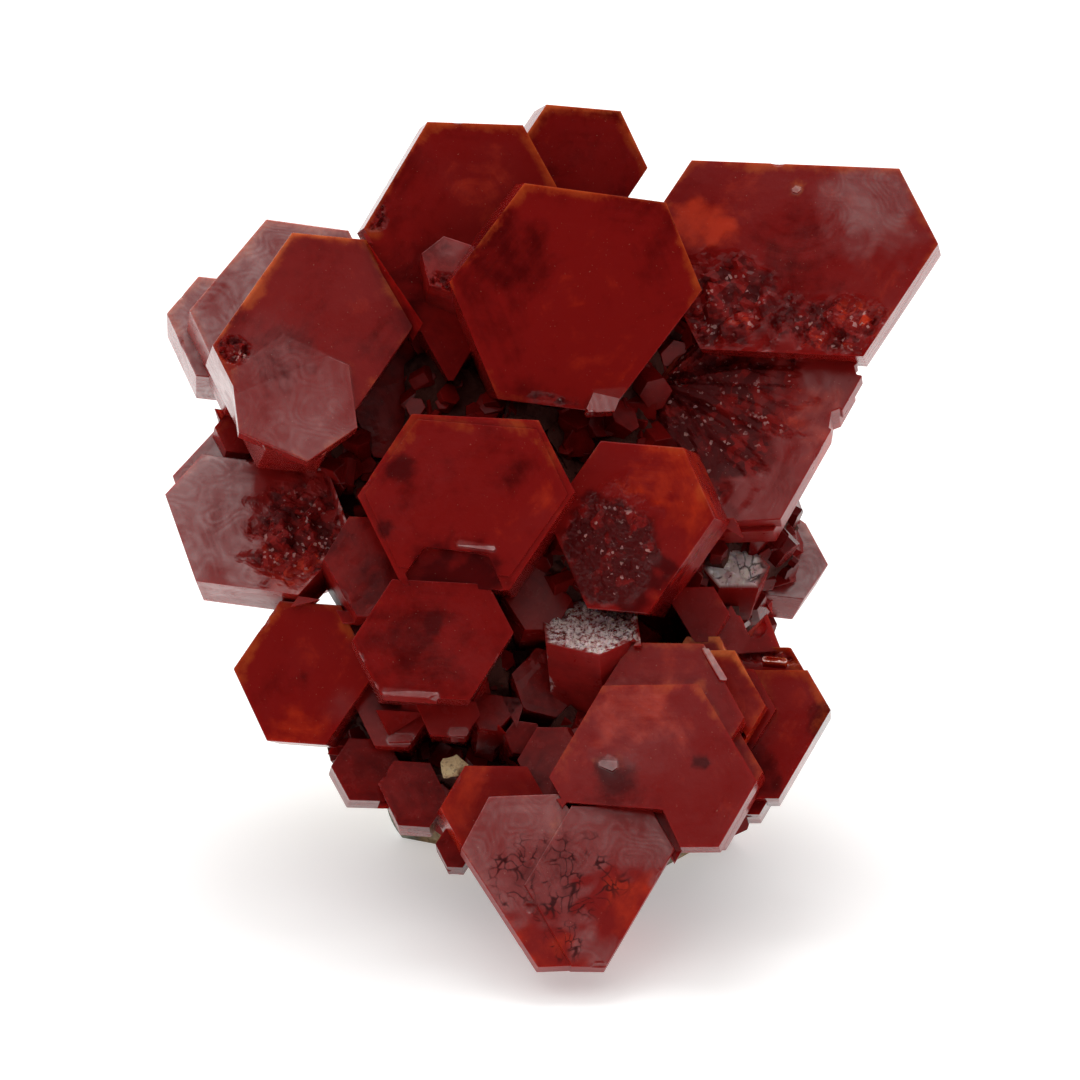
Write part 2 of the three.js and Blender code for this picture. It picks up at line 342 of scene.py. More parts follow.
def meets_neighbour(face, tree):
    """True where a face runs parallel to a neighbour, one gap away."""
    middle = face.calc_center_median()
    samples = [middle] + [middle.lerp(vertex.co, 0.6) for vertex in face.verts]
    for sample in samples:
        _, normal, _, distance = tree.ray_cast(sample, face.normal, CAD_GAP + GAP_TOLERANCE)
        if normal is None or distance < CAD_GAP - GAP_TOLERANCE:
            continue
        if abs(normal.dot(face.normal)) > PARALLEL:
            return True
    return False


def grow_together(made, node):
    """Moves the faces that stop short of a neighbour into it. Returns the edges that stay free."""
    tree = neighbour_tree(node)
    reach = {}
    for face in made.faces:
        joined = tree is not None and meets_neighbour(face, tree)
        reach[face] = CAD_GAP + OVERLAP if joined else 0.0
    free = [
        (
            edge.verts[0].co.copy(), edge.verts[1].co.copy(),
            (edge.link_faces[0].normal + edge.link_faces[1].normal).normalized(),
        )
        for edge in made.edges
        if edge.is_manifold and edge.is_convex and edge.calc_face_angle(0) > SHARP_ANGLE
        and not any(reach[face] for face in edge.link_faces)
    ]
    moves = [(vertex, growth(vertex, reach)) for vertex in made.verts]
    for vertex, move in moves:
        vertex.co += move
    made.normal_update()
    return free


def growth(vertex, reach):
    """The move that takes a corner into its neighbour without bending the faces that stay free."""
    joined = [(face.normal, reach[face]) for face in vertex.link_faces if reach[face]]
    if not joined:
        return Vector()
    ways = np.eye(3)
    kept = [face.normal for face in vertex.link_faces if not reach[face]]
    if kept:
        _, spread, rows = np.linalg.svd(np.array(kept))
        rank = int((spread > FLAT_SPREAD).sum())
        ways = rows[rank:]
    if not len(ways):
        return Vector()
    normals = np.array([normal for normal, _ in joined])
    distances = np.array([distance for _, distance in joined])
    share, *_ = np.linalg.lstsq(normals @ ways.T, distances, rcond=0.2)
    move = Vector(share @ ways)
    if move.length > LONGEST_STEP:
        move.length = LONGEST_STEP
    return move


def refine(made, size_at, rounds=9):
    """Splits edges until none is longer than the size wanted where it is."""
    bmesh.ops.triangulate(made, faces=made.faces)
    for _ in range(rounds):
        long = [
            edge for edge in made.edges
            if edge.calc_length() > size_at((edge.verts[0].co + edge.verts[1].co) / 2)
        ]
        if not long:
            return
        bmesh.ops.subdivide_edges(made, edges=long, cuts=1)
        bmesh.ops.triangulate(made, faces=[face for face in made.faces if len(face.verts) > 3])


def edge_tree(edges):
    """A point tree along the crystal's free edges."""
    points = []
    for start, end, _ in edges:
        count = max(2, int((end - start).length / EDGE_SPACING))
        points.extend(start.lerp(end, step / count) for step in range(count + 1))
    if not points:
        points.append(Vector((1, 1, 1)))
    tree = kdtree.KDTree(len(points))
    for index, point in enumerate(points):
        tree.insert(point, index)
    tree.balance()
    return tree


class FaceFrame:
    """The main front face of a crystal, with places on it given as shares of its width and height."""

    def __init__(self, made):
        forward = Vector((0, -math.cos(LEAN_BACK), math.sin(LEAN_BACK)))
        totals = []
        for face in made.faces:
            if face.normal.dot(forward) < 0.5:
                continue
            for entry in totals:
                if entry[0].dot(face.normal) > PARALLEL:
                    entry[1] += face.calc_area()
                    break
            else:
                totals.append([face.normal.copy(), face.calc_area()])
        self.normal = max(totals, key=lambda entry: entry[1])[0]
        self.right = UP.cross(self.normal).normalized()
        self.up = self.normal.cross(self.right)
        front = [face for face in made.faces if face.normal.dot(self.normal) > PARALLEL]
        corners = [vertex.co for face in front for vertex in face.verts]
        across = [corner.dot(self.right) for corner in corners]
        upward = [corner.dot(self.up) for corner in corners]
        self.low = (min(across), min(upward))
        self.size = (max(across) - min(across), max(upward) - min(upward))
        self.height = max(corner.dot(self.normal) for corner in corners)

    def at(self, u, v, above=0.0):
        return (
            self.right * (self.low[0] + u * self.size[0])
            + self.up * (self.low[1] + v * self.size[1])
            + self.normal * (self.height + above)
        )

    def offset(self, place, u, v):
        """How far a place is from a spot on the face, across and upward."""
        away = place - self.at(u, v)
        return away.dot(self.right), away.dot(self.up)


def smooth(low, high, value):
    share = min(max((value - low) / (high - low), 0.0), 1.0)
    return share * share * (3 - 2 * share)


# Features of a face. u and v are shares of its width and height, and sizes are in millimetres.


class CloudAndLight(NamedTuple):
    """A patch, darker below zero and brighter above it: partly the crystal's own cloudiness, partly painted
    glow where light would shine through and painted shade in recesses. Its sheen is how much silkier it is.
    """

    u: float
    v: float
    radius: float
    strength: float
    sheen: float = 0.0

    def amount(self, face, place):
        away = math.hypot(*face.offset(place, self.u, self.v)) / (self.radius * MM)
        return 1 - smooth(0.4, 1.1, away + 0.45 * noise.noise(place / (0.7 * MM)))


class Broken(NamedTuple):
    """A patch of rough, faceted fracture."""

    u: float
    v: float
    across: float
    upward: float
    depth: float = 0.15
    relief: float = 0.3
    grain: float = 0.5
    fineness: float = 1.0

    def away(self, face, place):
        """How far a place is from the middle of the patch, as a share of its reach."""
        x, y = face.offset(place, self.u, self.v)
        return math.hypot(x / self.across, y / self.upward) / MM + 0.28 * noise.noise(place / (0.8 * MM))

    def weight(self, face, place):
        return 1 - smooth(0.55, 1.0, self.away(face, place))

    def size(self, face, place, share):
        """The mesh size the patch wants at a place, growing away from it."""
        beyond = max(0.0, self.away(face, place) - 1.0) * min(self.across, self.upward)
        above = abs((place - face.at(0, 0)).dot(face.normal)) / MM
        size = self.grain * share * self.fineness + MESH_GROWTH * beyond
        return (size + MESH_GROWTH * max(0.0, above - 0.5)) * MM

    def height(self, face, place):
        return (facets(place, self.grain * MM) * self.relief - self.depth) * MM

    def line(self, face, place):
        return 0.0


class Fan(Broken):
    """Fracture in curved blades that spread from a spot."""

    def height(self, face, place):
        x, y = face.offset(place, self.u, self.v)
        radius = math.hypot(x, y) / MM
        angle = math.atan2(y, x)
        spread = Vector((angle * 2.6 + radius * 0.09, radius * 0.16, 0.0))
        return (facets(spread * MM, self.grain * MM) * self.relief - self.depth) * MM


class Cracks(Broken):
    """A net of short curved cracks between slightly tilted flakes."""

    def pattern(self, face, place):
        x, y = face.offset(place, self.u, self.v)
        spot = Vector((x, y, 0)) / (self.grain * MM)
        spot += noise.noise_vector(spot * 0.8) * 0.8
        distances, seeds = noise.voronoi(spot)
        tilt = noise.cell_vector(seeds[0] * 7.3) - Vector((0.5, 0.5, 0.5))
        opened = smooth(-0.3, 0.05, noise.noise(spot * 0.55))
        line = (1 - smooth(0.03, 0.14, distances[1] - distances[0])) * opened
        return tilt.dot(spot - seeds[0]), line

    def height(self, face, place):
        tilt, line = self.pattern(face, place)
        return (tilt * self.relief - line * self.depth) * MM

    def line(self, face, place):
        return self.pattern(face, place)[1]


class Layer(NamedTuple):
    """A thin hexagonal growth layer. Its reach is the distance to its sides, clockwise from the top."""

    u: float
    v: float
    reach: tuple
    rise: float = 0.1
    spin: float = 0.0
    turn: float = 0.0
    lean: float = 0.0
    sheen: float = 0.0

    def beyond(self, face, place):
        """How far outside the layer's edge a place is, in millimetres."""
        x, y = face.offset(place, self.u, self.v)
        distances = []
        for side, reach in enumerate(self.reach):
            angle = math.radians(90 - 60 * side - self.spin)
            distances.append((x * math.cos(angle) + y * math.sin(angle)) / MM - reach)
        return max(distances)

    def amount(self, face, place):
        return 1 - smooth(0.0, LAYER_FADE, self.beyond(face, place))


class Notch(NamedTuple):
    """A flat-floored hollow where a piece broke away. Its reach is measured like a layer's."""

    u: float
    v: float
    reach: tuple
    depth: float
    spin: float = 0.0


def flakes(place, grain):
    """Height of a stepped fracture, about -1 to 1: flat flakes at different levels, slightly tilted."""
    spot = place / grain
    distances, seeds = noise.voronoi(spot)
    levels = []
    for seed in seeds[:2]:
        tilt = noise.cell_vector(seed * 7.3) - Vector((0.5, 0.5, 0.5))
        levels.append(noise.cell(seed * 3.1) * 0.7 + tilt.dot(spot - seed) * 0.8)
    share = 0.5 + 0.5 * smooth(0.0, 0.14, distances[1] - distances[0])
    return levels[0] * share + levels[1] * (1 - share)


def facets(place, grain):
    """A stepped fracture with smaller steps on it."""
    return flakes(place, grain) + 0.4 * flakes(place * 1.7, grain * 0.7)


def hexagonal_prism(made, centre, axis, right, reach, height, depth):
    """Adds a closed hexagonal prism. reach is the distance to its six sides, clockwise from the top."""
    up = axis.cross(right).normalized()
    across = up.cross(axis).normalized()
    corners = []
    for side in range(SIDES):
        following = (side + 1) % SIDES
        angle = math.radians(90 - 60 * side)
        turned = math.radians(90 - 60 * following)
        cross = math.sin(turned - angle)
        x = (reach[side] * math.sin(turned) - reach[following] * math.sin(angle)) / cross
        y = (reach[following] * math.cos(angle) - reach[side] * math.cos(turned)) / cross
        corners.append(across * x + up * y)
    top = [made.verts.new(centre + corner + axis * height) for corner in corners]
    bottom = [made.verts.new(centre + corner - axis * depth) for corner in corners]
    faces = [made.faces.new(top[::-1]), made.faces.new(bottom)]
    for side in range(SIDES):
        following = (side + 1) % SIDES
        faces.append(made.faces.new((top[side], top[following], bottom[following], bottom[side])))
    bmesh.ops.recalc_face_normals(made, faces=faces)
    return top


def temporary(made):
    mesh = bpy.data.meshes.new("temporary")
    made.to_mesh(mesh)
    made.free()
    held = bpy.data.objects.new("temporary", mesh)
    bpy.context.scene.collection.objects.link(held)
    return held


def combine(made, added, operation):
    """Joins two solids into one, or cuts the second out of the first."""
    body = temporary(made)
    extra = temporary(added)
    join = body.modifiers.new("join", "BOOLEAN")
    join.operation = operation
    join.solver = "MANIFOLD"
    join.object = extra
    graph = bpy.context.evaluated_depsgraph_get()
    united = bmesh.new()
    united.from_mesh(body.evaluated_get(graph).to_mesh())
    for held in (body, extra):
        mesh = held.data
        bpy.data.objects.remove(held)
        bpy.data.meshes.remove(mesh)
    bmesh.ops.dissolve_limit(united, angle_limit=FLAT_ANGLE, verts=united.verts, edges=united.edges)
    united.normal_update()
    return united


def finish_piece(name, made, material, values, node=None):
    """Turns a mesh into a piece. values holds a list of numbers for each attribute, one a point."""
    mesh = bpy.data.meshes.new(name)
    made.to_mesh(mesh)
    made.free()
    mesh.materials.append(material)
    mesh.shade_flat()
    for attribute, numbers in values.items():
        layer = mesh.attributes.new(attribute, "FLOAT", "POINT")
        layer.data.foreach_set("value", np.asarray(numbers, np.float32))
    piece = bpy.data.objects.new(name, mesh)
    bpy.context.scene.collection.objects.link(piece)
    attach(piece, BODY)
    if node:
        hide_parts(node)


ATTRIBUTES = ("edge_glow", "inset", "cloud_and_light", "rough", "line", "sheen")


def build_crystal(node, look, features=(), chips=5, edge_glow=1.0, worn=0.0, sides=0.0):
    """One crystal or intergrown group, from its solid."""
    settings = bpy.context.scene.specimen_crystals
    made = flat_faced(node)
    face = FaceFrame(made)
    free = grow_together(made, node)
    bites = pick_chips(free, chips, NODE_ORDER.index(node))
    for feature in features:
        if isinstance(feature, Layer):
            made = add_layer(made, face, feature, free)
        elif isinstance(feature, Notch):
            made = cut_notch(made, face, feature)
    bevel_edges(made, settings.edge_bevel)
    broken = [feature for feature in features if isinstance(feature, Broken)]
    clouds_and_light = [feature for feature in features if isinstance(feature, CloudAndLight)]
    silky = [feature for feature in features if isinstance(feature, (CloudAndLight, Layer)) and feature.sheen]
    edged = [feature for feature in silky if isinstance(feature, Layer)]
    tree = edge_tree(free)

    def size_at(point):
        size = settings.facet_step + EDGE_GROWTH * min(tree.find(point)[2], MM)
        for feature in broken:
            size = min(size, feature.size(face, point, settings.broken_share))
        for layer in edged:
            size = min(size, (LAYER_FADE + MESH_GROWTH * abs(layer.beyond(face, point))) * MM)
        for centre, radius in bites:
            outside = max(0.0, (point - centre).length - radius)
            size = min(size, radius * CHIP_FINENESS + MESH_GROWTH * outside)
        return size

    refine(made, size_at)
    made.normal_update()
    values = {name: [] for name in ATTRIBUTES}
    middle = face.at(0.5, 0.5)
    for vertex in made.verts:
        place = vertex.co.copy()
        away = tree.find(place)[2]
        inland = smooth(0, EDGE_KEPT, away)
        facing = vertex.normal.dot(face.normal)
        roughness = 0.0
        line = 0.0
        if facing > FRONT_FACING:
            for feature in broken:
                weight = feature.weight(face, place) * inland
                if weight <= 0:
                    continue
                vertex.co += face.normal * (weight * feature.height(face, place))
                line = max(line, weight * feature.line(face, place))
                if not isinstance(feature, Cracks):
                    roughness = max(roughness, weight)
        if worn:
            vertex.co += vertex.normal * (worn * MM * facets(place, WORN_GRAIN) * inland)
            roughness = max(roughness, WORN_ROUGHNESS)
        for centre, radius in bites:
            offset = place - centre
            if offset.length < radius:
                vertex.co = centre + offset.normalized() * radius
                roughness = max(roughness, CHIP_ROUGHNESS)
        # The painted edge glow is stronger towards the top and on faces turned to the front, where light
        # would shine through.
        lit = 0.55 + 0.45 * smooth(-0.6, 0.5, (place - middle).normalized().dot(face.up))
        lit *= 0.45 + 0.55 * smooth(-0.4, 0.6, facing)
        inset = away
        sheen = LOOKS[look].get("sheen", 0.0)
        sheen += sum(feature.sheen * feature.amount(face, place) for feature in silky)
        if facing < SIDE_FACING:
            inset = face.height - place.dot(face.normal)
            sheen = sides
        values["edge_glow"].append(edge_glow * lit * (1 - smooth(0.0, 1.0, away / MM)))
        values["inset"].append(inset / MM)
        values["cloud_and_light"].append(sum(feature.strength * feature.amount(face, place) for feature in clouds_and_light))
        values["rough"].append(roughness)
        values["line"].append(line)
        values["sheen"].append(sheen * (1 - max(roughness, line)))
    finish_piece(node + "_look", made, crystal_finish(look), values, node)


def add_layer(made, face, layer, free):
    """Joins a growth layer to its crystal, and adds its edges to the free ones."""
    axis = face.normal.copy()
    right = face.right.copy()
    right.rotate(Matrix.Rotation(math.radians(-layer.spin), 3, axis))
    pose = Matrix.Rotation(math.radians(layer.turn), 3, face.up)
    pose = pose @ Matrix.Rotation(math.radians(-layer.lean), 3, face.right)
    axis.rotate(pose)
    right.rotate(pose)
    added = bmesh.new()
    reach = [distance * MM for distance in layer.reach]
    top = hexagonal_prism(
        added, face.at(layer.u, layer.v), axis, right, reach, layer.rise * MM, LAYER_ROOT
    )
    for side in range(SIDES):
        start = top[side].co.copy()
        end = top[(side + 1) % SIDES].co.copy()
        if start.lerp(end, 0.5).dot(face.normal) > face.height:
            free.append((start, end, axis.copy()))
    return combine(made, added, "UNION")


def cut_notch(made, face, notch):
    right = face.right.copy()
    right.rotate(Matrix.Rotation(math.radians(-notch.spin), 3, face.normal))
    removed = bmesh.new()
    reach = [distance * MM for distance in notch.reach]
    spot = face.at(notch.u, notch.v)
    hexagonal_prism(removed, spot, face.normal, right, reach, LAYER_ROOT, notch.depth * MM)
    return combine(made, removed, "DIFFERENCE")


def bevel_edges(made, width, segments=2):
    sharp = [
        edge for edge in made.edges
        if edge.is_manifold and edge.is_convex and edge.calc_face_angle(0) > SHARP_ANGLE
        and edge.calc_length() > 2 * width
    ]
    bmesh.ops.bevel(
        made, geom=sharp, offset=width, offset_type="OFFSET", segments=segments, profile=0.6,
        affect="EDGES", clamp_overlap=True,
    )


def pick_chips(free, count, seed):
    """Small shell-shaped bites out of the free edges, as spheres: (centre, radius)."""
    draw = random.Random(seed + 100)
    lengths = [(end - start).length for start, end, _ in free]
    chips = []
    for _ in range(count if free else 0):
        start, end, outward = draw.choices(free, lengths)[0]
        radius = draw.uniform(*CHIP_RADIUS) * MM
        spot = start.lerp(end, draw.random())
        chips.append((spot + outward * radius * draw.uniform(*CHIP_OUTSIDE), radius))
    return chips


# ---- crystal finishes

# tone_and_light is each look's own red; for glowing it is high enough to paint the glow of light shining
# through, and for inner and tiny it is low to paint the shade between the large crystals.
LOOKS = {
    "deep": {"tone_and_light": 0.4, "gloss": 0.15, "sheen": 0.03},
    "clear": {"tone_and_light": 0.55, "gloss": 0.17, "sheen": 0.05},
    "glowing": {"tone_and_light": 0.8, "gloss": 0.2, "sheen": 0.05},
    "dull": {"tone_and_light": 0.36, "gloss": 0.3, "sheen": 0.52},
    "cracked": {"tone_and_light": 0.45, "gloss": 0.34, "sheen": 0.48},
    "pale": {"tone_and_light": 0.42, "gloss": 0.28, "sheen": 0.68},
    "silver_glint": {"tone_and_light": 0.4, "gloss": 0.3, "silver_glint": 0.4},
    "mirror": {"tone_and_light": 0.4, "gloss": 0.25, "silver_glint": 0.27},
    "fan": {"tone_and_light": 0.42, "gloss": 0.3, "sheen": 0.16},
    "inner": {"tone_and_light": 0.32, "gloss": 0.26, "sheen": 0.04},
    "tiny": {"tone_and_light": 0.14, "gloss": 0.22, "buried": True},
}
CLARITY = 1.24  # how strongly the body of a crystal reflects, as its refractive index
SHEEN_CLARITY = 2.5
SHEEN_ROUGHNESS = 0.26
LIGHT_REACH = (1.0, 0.14, 0.06)  # how far red, green and blue light travel inside
DARK_LINE = (0.035, 0.0012, 0.0018)
DUST = (0.5, 0.24, 0.17)
GLINT = (0.62, 0.33, 0.31)
SILVER_GLINT = (0.86, 0.72, 0.7)
finished = {}


def crystal_finish(look):
    """The glossy red of the crystals: cloudy inside, with painted glow along thin edges and where light would
    shine through, painted shade in some patches, painted glints and silvery reflections on broken faces, and
    faint growth lines.
    """
    if look in finished:
        return finished[look]
    values = LOOKS[look]
    settings = bpy.context.scene.specimen_crystals
    made = Finish("crystal_" + look)
    edge_glow = made.attribute("edge_glow")
    cloud_and_light = made.attribute("cloud_and_light")
    rough = made.attribute("rough")
    line = made.attribute("line")
    sheen = made.attribute("sheen")
    zones = made.zones(made.attribute("inset"))
    clouds = made.noise(0.32, detail=5.0, roughness=0.6, distortion=0.6)
    veins = made.noise(1.3, detail=6.0, roughness=0.65)
    # level is the crystal's own cloudy red, plus the painted glow and shade of its patches and of its look.
    level = (clouds - 0.5) * 1.3 + (veins - 0.5) * 0.6 + (zones - 0.5) * 0.5 + cloud_and_light + values["tone_and_light"]
    # Painted shade: each flake of a broken patch is a little lighter or darker, as tilted flakes would be
    # lit.
    flakes_shade = (made.cells(1.9) - 0.5) * 0.8 + (made.cells(3.6) - 0.5) * 0.5
    level = level + sheen * 0.35 + rough * (flakes_shade - 0.12)
    colour = made.mix(level.ramp(-0.15, 0.5), settings.deep, settings.body)
    # Where the level is high, the painted glow of light shining through.
    colour = made.mix(level.ramp(0.6, 1.3) * (1 - sheen), colour, settings.glow)
    # Painted orange glow of light shining through along the thin edges, brighter still at the very edge.
    start = 0.47 - (clouds - 0.5) * 1.6 - (veins - 0.5) * 0.8
    edge = edge_glow.ramp(start, start + 0.55)
    colour = made.mix(edge * (1 - rough) * 0.85, colour, settings.edge_glow)
    thin_glow = edge_glow.ramp(0.72, 0.95) * veins.ramp(0.3, 0.6)
    colour = made.mix(thin_glow * 0.7, colour, settings.thin_edge_glow)
    specks = made.noise(9.0, detail=2.0).ramp(0.70, 0.78)
    colour = made.mix(specks * 0.3, colour, DUST)
    sparkle = made.noise(7.0, detail=3.0, roughness=0.7)
    # Painted glints: small pinkish highlights on the broken faces.
    glints = made.cells(7.0).ramp(0.92, 0.94) * rough.ramp(0.5, 0.9) * veins.ramp(0.4, 0.6)
    colour = made.mix((glints * 0.7 + sparkle.ramp(0.66, 0.74) * 0.5) * rough, colour, GLINT)
    # Painted silvery reflection on the broken faces of the silver_glint and mirror looks.
    if "silver_glint" in values:
        grains = made.noise(4.2, detail=5.0, roughness=0.75)
        colour = made.mix(grains.ramp(values["silver_glint"], values["silver_glint"] + 0.18) * rough, colour, SILVER_GLINT)
    colour = made.mix(line * 0.9, colour, DARK_LINE)
    swells = made.noise(0.22, detail=1.0)
    ripple = made.noise(1.8, detail=3.0)
    scratches = made.noise(14.0, detail=3.0)
    height = swells * 28.0 + ripple * 1.6 + zones * 0.6 + scratches * 0.25 + sparkle * rough * 1.2
    gloss = values["gloss"] + (veins - 0.5) * 0.2 + rough * 0.25
    rings = (made.noise(0.4, detail=1.0) * 110.0).math("SINE") * veins.ramp(0.36, 0.56)
    streaks = 0.7 + (zones - 0.5) * 1.2 + (clouds - 0.5) * 2.0 + (veins - 0.5) * 1.1 + rings * 0.15
    made.set(
        Base_Color=colour,
        Roughness=gloss.clamped(),
        Normal=made.bump(height, 0.01 * MM),
        IOR=CLARITY,
        Coat_Weight=(sheen * streaks).clamped(),
        Coat_Roughness=SHEEN_ROUGHNESS,
        Coat_IOR=SHEEN_CLARITY,
    )
    if not values.get("buried"):
        made.set(Subsurface_Weight=0.3, Subsurface_Radius=LIGHT_REACH, Subsurface_Scale=1.1 * MM)
    finished[look] = made.material
    return made.material


# ---- what each crystal has

# Negative patches near notches and dark sides paint shade; strong positive ones paint the glow of light
# shining through.
FRONT = {
    "heart_crystal": {"look": "cracked", "chips": 12, "edge_glow": 0.5, "features": [
        Cracks(0.45, 0.52, 3.8, 2.4, 0.0, 0.008, 0.5, 0.45), Cracks(0.46, 0.15, 1.2, 1.2, 0.0, 0.0, 0.4, 0.5),
        CloudAndLight(0.35, 0.1, 2.2, 0.3, -0.5), CloudAndLight(0.75, 0.35, 2.2, 0.45, -0.6), CloudAndLight(0.45, 0.5, 2.6, -0.25, -0.2),
    ]},
    "stepped_front_crystal": {"look": "clear", "edge_glow": 0.7, "features": [
        Notch(0.3, -0.15, (3.33, 3.63, 3.0, 3.0, 3.0, 3.4), 1.0, 1),
        Layer(0.75, 0.91, (0.75, 0.16, 0.82, 0.75, 0.16, 0.82), -0.27, -2, 14, 14, 0.95),
        Layer(0.28, 0.4, (0.3, 0.35, 0.4, 0.3, 0.45, 0.3), 0.03, 20, 0, 14, 0.45),
        CloudAndLight(0.3, 0.37, 1.3, -0.45), CloudAndLight(0.72, 0.43, 0.4, -1.2), CloudAndLight(0.34, 0.23, 2.2, -0.3),
        CloudAndLight(0.4, 0.75, 3.0, 0.25), CloudAndLight(0.4, 0.6, 2.6, 0.1, 0.15),
    ]},
    "lower_centre_crystal": {"look": "deep", "edge_glow": 0.4, "sides": 0.85, "features": [
        CloudAndLight(0.49, 0.59, 0.35, -0.5), CloudAndLight(0.8, 0.7, 1.4, 0.2), CloudAndLight(0.35, 0.45, 1.8, -0.15),
        CloudAndLight(0.5, 0.5, 4.0, -0.14),
        Layer(0.35, 0.065, (0.12, 1.1, 1.1, 0.16, 1.1, 1.1), 0.03, 6, 0, 16, 0.7),
    ]},
    "centre_crystal": {"look": "deep", "edge_glow": 0.55, "features": [
        CloudAndLight(0.19, 0.67, 0.8, -0.5), CloudAndLight(0.13, 0.28, 0.55, -0.5), CloudAndLight(0.74, 0.63, 0.9, -0.35),
        CloudAndLight(0.5, 0.12, 1.9, -0.3), CloudAndLight(0.62, 0.3, 1.5, 0.2), CloudAndLight(0.85, 0.5, 1.5, 0.35),
        CloudAndLight(0.36, 0.0, 1.3, -0.5), CloudAndLight(0.58, 0.0, 1.3, -0.5),
        Layer(0.51, 0.51, (3.15, 4.0, 3.65, 3.5, 4.15, 3.8), 0.06, 3),
        Notch(0.47, 0.0, (1.15, 1.7, 2.0, 2.0, 2.0, 1.9), 0.4, 4),
        Layer(0.56, 0.185, (0.14, 0.75, 0.75, 0.1, 0.75, 0.75), 0.08, 7, 0, 24, 0.72),
    ]},
    "glowing_crystal": {"look": "clear", "edge_glow": 0.6, "features": [
        Broken(0.36, 0.38, 2.5, 3.0, 0.12, 0.1, 0.42), CloudAndLight(0.38, 0.34, 3.2, -0.8),
        CloudAndLight(0.68, 0.75, 3.2, 0.25), CloudAndLight(0.6, 0.1, 2.4, -0.2),
    ]},
    "plate_behind_heart": {"look": "glowing", "edge_glow": 0.5},
    "broken_top_crystal": {"look": "silver_glint", "edge_glow": 0.3, "features": [
        Broken(0.5, 0.5, 3.2, 3.2, 0.1, 0.16, 0.35),
    ]},
}
UPPER = {
    "upper_centre_crystal": {"look": "deep", "edge_glow": 0.8, "chips": 4, "features": [
        CloudAndLight(0.62, 0.62, 2.6, 0.15), CloudAndLight(0.55, 0.22, 3.2, 0.25), CloudAndLight(0.25, 0.7, 2.4, -0.3),
        Layer(0.59, 0.06, (0.45, 1.0, 0.6, 0.6, 1.0, 0.6), 0.07, 0, 6, 20, 0.8),
        Broken(0.36, 0.04, 1.6, 0.8, 0.12, 0.14, 0.7), CloudAndLight(0.3, 0.05, 1.6, -0.3),
    ]},
    "upper_left_crystal": {"look": "deep", "chips": 8, "edge_glow": 0.8, "features": [
        Broken(0.04, 0.66, 0.8, 0.9, 0.1, 0.2, 0.4), CloudAndLight(0.6, 0.7, 2.4, 0.3, 0.1), CloudAndLight(0.2, 0.4, 2.4, -0.3),
    ]},
    "wedge_crystal": {"look": "inner", "edge_glow": 0.1, "chips": 2, "worn": 0.015, "features": [
        Broken(0.4, 0.0, 1.2, 0.9, 0.1, 0.2, 0.4), CloudAndLight(0.6, 0.8, 0.8, 0.0, 0.15),
    ]},
    "upper_right_crystal": {"look": "clear", "edge_glow": 0.8, "chips": 7, "features": [
        Broken(0.22, 0.24, 3.6, 2.7, 0.08, 0.42, 1.1), Broken(0.66, 0.16, 3.2, 1.7, 0.06, 0.32, 0.8),
        CloudAndLight(0.13, 0.65, 1.7, 0.55), CloudAndLight(0.24, 0.6, 1.0, 0.4), CloudAndLight(0.5, 0.4, 3.0, -0.2),
        CloudAndLight(0.75, 0.8, 2.8, -0.1, 0.8), CloudAndLight(0.25, 0.3, 3.4, -0.25),
        Layer(0.48, 0.86, (0.16, 0.2, 0.17, 0.18, 0.2, 0.15), 0.05, 15, 4, 14, 1.0),
    ]},
    "right_fan_crystal": {"look": "fan", "edge_glow": 0.4, "chips": 12, "features": [
        Fan(0.1, 0.75, 7.6, 6.6, 0.1, 0.36, 0.8), CloudAndLight(0.3, 0.6, 4.4, -0.45, -0.3),
        CloudAndLight(0.8, 0.6, 2.6, 0.4),
        Notch(1.0, 0.9, (0.4, 0.5, 0.4, 0.35, 0.4, 0.4), 3.4, 12),
        Notch(0.9, 0.61, (0.5, 0.5, 0.5, 0.5, 0.35, 0.5), 3.4, 35),
    ]},
    "top_crystal": {"look": "deep", "edge_glow": 0.9, "worn": 0.01},
}
LEFT = {
    "big_left_crystal": {"look": "deep", "chips": 4, "edge_glow": 0.9, "sides": 0.9, "features": [
        Layer(0.36, 0.27, (2.4, 2.7, 2.9, 2.6, 2.6, 2.5), 0.12, 30, -2, 6, 0.26),
        CloudAndLight(0.42, 0.1, 2.4, 0.0, 0.2), Broken(0.1, 0.5, 0.9, 0.8, 0.1, 0.2, 0.4),
        CloudAndLight(0.55, 0.75, 3.2, 0.1), CloudAndLight(0.3, 0.47, 2.0, -0.25, 0.14),
    ]},
    "behind_left_crystal": {"look": "pale", "edge_glow": 0.8, "chips": 4, "sides": 0.8},
    "far_left_crystal": {"look": "pale", "edge_glow": 0.8, "chips": 6, "sides": 1.0, "features": [
        CloudAndLight(0.6, 0.2, 1.4, 0.6, -0.5),
    ]},
    "left_middle_crystal": {"look": "dull", "edge_glow": 0.4, "sides": 0.9, "features": [
        Broken(0.76, 0.36, 2.7, 3.2, 0.25, 0.34, 0.8), CloudAndLight(0.75, 0.12, 1.8, 0.45),
        CloudAndLight(0.7, 0.7, 2.6, 0.1, -0.8), CloudAndLight(0.36, 0.06, 1.1, 0.1, -0.4),
    ]},
    "left_lower_crystal": {"look": "clear", "edge_glow": 0.7, "features": [
        CloudAndLight(0.55, 0.47, 0.5, -0.55), CloudAndLight(0.55, 0.08, 1.8, 0.3), CloudAndLight(0.2, 0.5, 2.2, -0.15),
        CloudAndLight(0.85, 0.28, 0.9, -0.1, 0.5),
    ]},
    "dull_left_crystal": {"look": "inner", "edge_glow": 0.5, "worn": 0.02},
}
